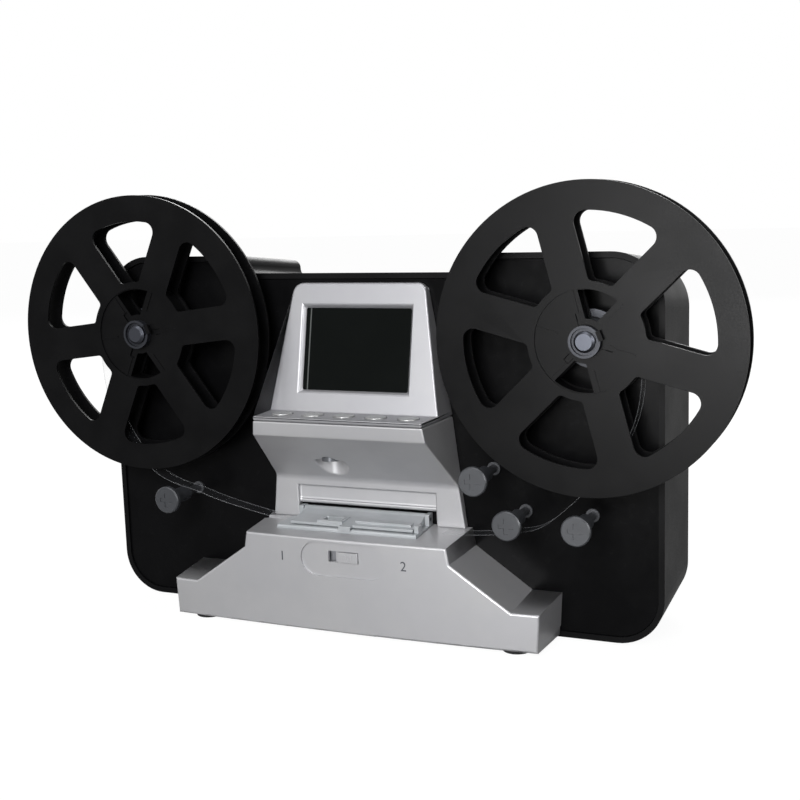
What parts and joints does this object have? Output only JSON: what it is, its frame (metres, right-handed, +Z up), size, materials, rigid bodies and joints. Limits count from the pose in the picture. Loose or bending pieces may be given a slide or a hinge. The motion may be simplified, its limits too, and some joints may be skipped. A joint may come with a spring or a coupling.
{
  "type": "film scanner",
  "caption": "Desk-top cine film scanner: black body with two film reels, guide rollers, and a silver tower with screen, buttons and hinged film gate.",
  "frame": {"origin": "middle of the bottom of the bounding box, on the table", "axes": "+X to the viewer's right along the two reels, +Y to the rear, +Z up"},
  "size_m": [0.3372, 0.086, 0.1937],
  "materials": {
    "black_plastic": "satin moulded plastic",
    "gloss_black": "high gloss",
    "silver_plastic": "silver paint with a fine grain",
    "screen_glass": "dark clear",
    "white_diffuser": "milky",
    "steel": "turned and polished",
    "motor_steel": "plated sheet",
    "bearing_brass": "sintered",
    "board_green": "solder mask",
    "rubber": "matt",
    "button_grey": "satin paint",
    "roller_grey": "satin",
    "reel_charcoal": "satin moulded plastic"
  },
  "bodies": {
    "case": {"rear_housing": "black_plastic", "front_panel": "gloss_black", "base_cover": "silver_plastic", "tower_cover": "silver_plastic", "screen_cover": "silver_plastic", "screen_glass": "screen_glass", "screen_module": "black_plastic", "film_bed": "silver_plastic", "light_window": "white_diffuser", "gate_hinge_pin": "steel", "claw_motor": "motor_steel", "light_board": "board_green", "camera_board": "board_green", "camera_lens": "black_plastic", "button_board": "board_green", "main_board": "board_green", "power_inlet": "motor_steel", "tv_jack": "black_plastic", "card_slot": "motor_steel", "switch_body": "motor_steel", "rubber_feet": "rubber", "housing_screws": "steel", "roller_posts": "steel", "left_spindle_bearing": "bearing_brass", "left_gear_motor": "motor_steel", "right_spindle_bearing": "bearing_brass", "right_gear_motor": "motor_steel"},
    "film_gate": {"film_gate_flap": "silver_plastic"},
    "switch_knob": {"slide_switch": "silver_plastic"},
    "claw": {"pulldown_claw": "steel"},
    "press_button_1": {"button_1": "button_grey"},
    "press_button_2": {"button_2": "button_grey"},
    "press_button_3": {"button_3": "button_grey"},
    "press_button_4": {"button_4": "button_grey"},
    "press_button_5": {"button_5": "button_grey"},
    "left_roller": {"left_guide_roller": "roller_grey"},
    "upper_roller": {"upper_guide_roller": "roller_grey"},
    "middle_roller": {"middle_guide_roller": "roller_grey"},
    "right_roller": {"right_guide_roller": "roller_grey"},
    "left_reel": {"left_reel_front_flange": "reel_charcoal", "left_reel_rear_flange": "reel_charcoal", "left_reel_core": "reel_charcoal", "left_spindle": "steel", "left_spindle_collar": "black_plastic"},
    "left_catch": {"left_reel_catch": "black_plastic"},
    "right_reel": {"right_reel_front_flange": "reel_charcoal", "right_reel_rear_flange": "reel_charcoal", "right_reel_core": "reel_charcoal", "right_spindle": "steel", "right_spindle_collar": "black_plastic"},
    "right_catch": {"right_reel_catch": "black_plastic"}
  },
  "joints": [
    {"name": "left_reel_spin", "type": "hinge", "parent": "case", "child": "left_reel", "pos_m": [-0.1054, -0.02475, 0.1305], "axis": [0, 1, 0], "continuous": true},
    {"name": "left_catch_press", "type": "slide", "parent": "left_reel", "child": "left_catch", "axis": [-0.9272, 0, -0.3746], "range_m": [0, 0.0012], "stiffness_N_per_m": 150, "springref_m": -0.001},
    {"name": "right_reel_spin", "type": "hinge", "parent": "case", "child": "right_reel", "pos_m": [0.1054, -0.02475, 0.1305], "axis": [0, 1, 0], "continuous": true},
    {"name": "right_catch_press", "type": "slide", "parent": "right_reel", "child": "right_catch", "axis": [-0.9272, 0, -0.3746], "range_m": [0, 0.0012], "stiffness_N_per_m": 150, "springref_m": -0.001},
    {"name": "left_roller_spin", "type": "hinge", "parent": "case", "child": "left_roller", "pos_m": [-0.0894, -0.02995, 0.0553], "axis": [0, 1, 0], "continuous": true},
    {"name": "upper_roller_spin", "type": "hinge", "parent": "case", "child": "upper_roller", "pos_m": [0.0598, -0.02995, 0.0729], "axis": [0, 1, 0], "continuous": true},
    {"name": "middle_roller_spin", "type": "hinge", "parent": "case", "child": "middle_roller", "pos_m": [0.074, -0.02995, 0.0553], "axis": [0, 1, 0], "continuous": true},
    {"name": "right_roller_spin", "type": "hinge", "parent": "case", "child": "right_roller", "pos_m": [0.1031, -0.02995, 0.0553], "axis": [0, 1, 0], "continuous": true},
    {"name": "button_1_press", "type": "slide", "parent": "case", "child": "press_button_1", "axis": [0, 0, -1], "range_m": [0, 0.0007], "stiffness_N_per_m": 400, "springref_m": -0.001},
    {"name": "button_2_press", "type": "slide", "parent": "case", "child": "press_button_2", "axis": [0, 0, -1], "range_m": [0, 0.0007], "stiffness_N_per_m": 400, "springref_m": -0.001},
    {"name": "button_3_press", "type": "slide", "parent": "case", "child": "press_button_3", "axis": [0, 0, -1], "range_m": [0, 0.0007], "stiffness_N_per_m": 400, "springref_m": -0.001},
    {"name": "button_4_press", "type": "slide", "parent": "case", "child": "press_button_4", "axis": [0, 0, -1], "range_m": [0, 0.0007], "stiffness_N_per_m": 400, "springref_m": -0.001},
    {"name": "button_5_press", "type": "slide", "parent": "case", "child": "press_button_5", "axis": [0, 0, -1], "range_m": [0, 0.0007], "stiffness_N_per_m": 400, "springref_m": -0.001},
    {"name": "switch_slide", "type": "slide", "parent": "case", "child": "switch_knob", "axis": [1, 0, 0], "range_m": [-0.0048, 0]},
    {"name": "film_gate_hinge", "type": "hinge", "parent": "case", "child": "film_gate", "pos_m": [0, -0.01395, 0.049], "axis": [-1, 0, 0], "range_deg": [0, 50]},
    {"name": "claw_slide", "type": "slide", "parent": "case", "child": "claw", "axis": [1, 0, 0], "range_m": [-0.0021, 0.0021]}
  ]
}
